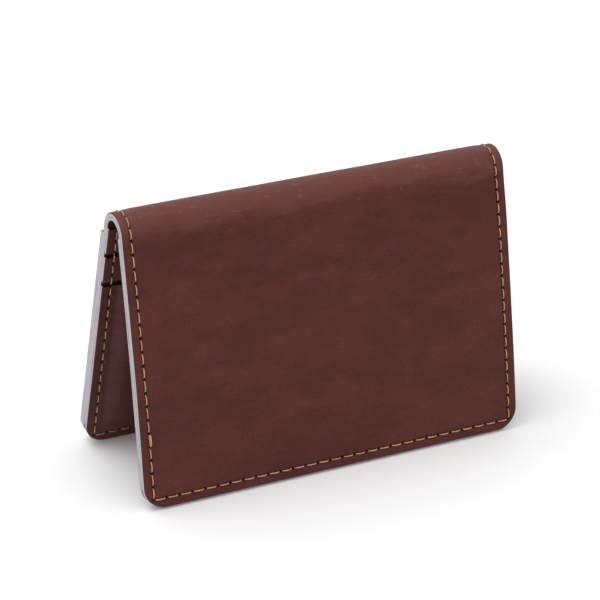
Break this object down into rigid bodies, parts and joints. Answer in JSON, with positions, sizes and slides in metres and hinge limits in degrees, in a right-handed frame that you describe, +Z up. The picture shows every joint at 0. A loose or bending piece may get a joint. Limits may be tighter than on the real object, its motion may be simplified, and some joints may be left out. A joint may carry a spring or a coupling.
{
  "type": "card holder",
  "caption": "Bifold leather card holder with a soft fold, stepped inner card pockets, an outside pocket and contrast perimeter stitching.",
  "frame": {"origin": "centre of the footprint on the table, midway along the fold, in the standing tent pose", "axes": "+X along the fold to the right seen from the front, -Y towards the front leaf's outer face, +Z up"},
  "size_m": [0.102, 0.0406, 0.0699],
  "materials": {
    "shell_leather": "semi-matt full-grain, dark mahogany",
    "lining": "smooth matt, dark brown",
    "pocket_leather": "smooth semi-matt, dark brown, raw grey-lilac cut edges",
    "thread": "waxed twisted thread, tan"
  },
  "bodies": {
    "rear_leaf": {"shell_rear": "shell_leather", "lining_rear": "lining", "pocket_top": "pocket_leather", "pocket_middle": "pocket_leather", "pocket_front": "pocket_leather", "outside_pocket": "shell_leather", "seam_pocket_top": "thread", "seam_pocket_middle": "thread", "stitches_rear_outside": "thread", "stitches_rear_inside": "thread"},
    "fold_1": {"shell_fold_1": "shell_leather", "lining_fold_1": "lining", "stitches_fold_1": "thread"},
    "fold_2": {"shell_fold_2": "shell_leather", "lining_fold_2": "lining", "stitches_fold_2": "thread"},
    "fold_3": {"shell_fold_3": "shell_leather", "lining_fold_3": "lining", "stitches_fold_3": "thread"},
    "fold_4": {"shell_fold_4": "shell_leather", "lining_fold_4": "lining", "stitches_fold_4": "thread"},
    "fold_5": {"shell_fold_5": "shell_leather", "lining_fold_5": "lining", "stitches_fold_5": "thread"},
    "front_leaf": {"shell_front": "shell_leather", "lining_front": "lining", "front_leaf_pocket": "pocket_leather", "stitches_front_outside": "thread", "stitches_front_inside": "thread", "back_tack": "thread"}
  },
  "joints": [
    {"name": "fold_hinge_1", "type": "hinge", "parent": "rear_leaf", "child": "fold_1", "pos_m": [0, 0.00376, 0.06533], "axis": [-1, 0, 0], "range_deg": [-2.5, 15.5]},
    {"name": "fold_hinge_2", "type": "hinge", "parent": "fold_1", "child": "fold_2", "pos_m": [0, 0.00264, 0.06743], "axis": [-1, 0, 0], "range_deg": [-5, 31]},
    {"name": "fold_hinge_3", "type": "hinge", "parent": "fold_2", "child": "fold_3", "pos_m": [0, 0.0006, 0.06866], "axis": [-1, 0, 0], "range_deg": [-5, 31]},
    {"name": "fold_hinge_4", "type": "hinge", "parent": "fold_3", "child": "fold_4", "pos_m": [0, -0.00178, 0.06866], "axis": [-1, 0, 0], "range_deg": [-5, 31]},
    {"name": "fold_hinge_5", "type": "hinge", "parent": "fold_4", "child": "fold_5", "pos_m": [0, -0.00381, 0.06743], "axis": [-1, 0, 0], "range_deg": [-5, 31]},
    {"name": "leaf_open", "type": "hinge", "parent": "fold_5", "child": "front_leaf", "pos_m": [0, -0.00493, 0.06533], "axis": [-1, 0, 0], "range_deg": [-2.5, 15.5]}
  ],
  "couplings": [
    {"joint": "fold_hinge_1", "follows": "leaf_open", "ratio": 1},
    {"joint": "fold_hinge_2", "follows": "leaf_open", "ratio": 2},
    {"joint": "fold_hinge_3", "follows": "leaf_open", "ratio": 2},
    {"joint": "fold_hinge_4", "follows": "leaf_open", "ratio": 2},
    {"joint": "fold_hinge_5", "follows": "leaf_open", "ratio": 2}
  ]
}
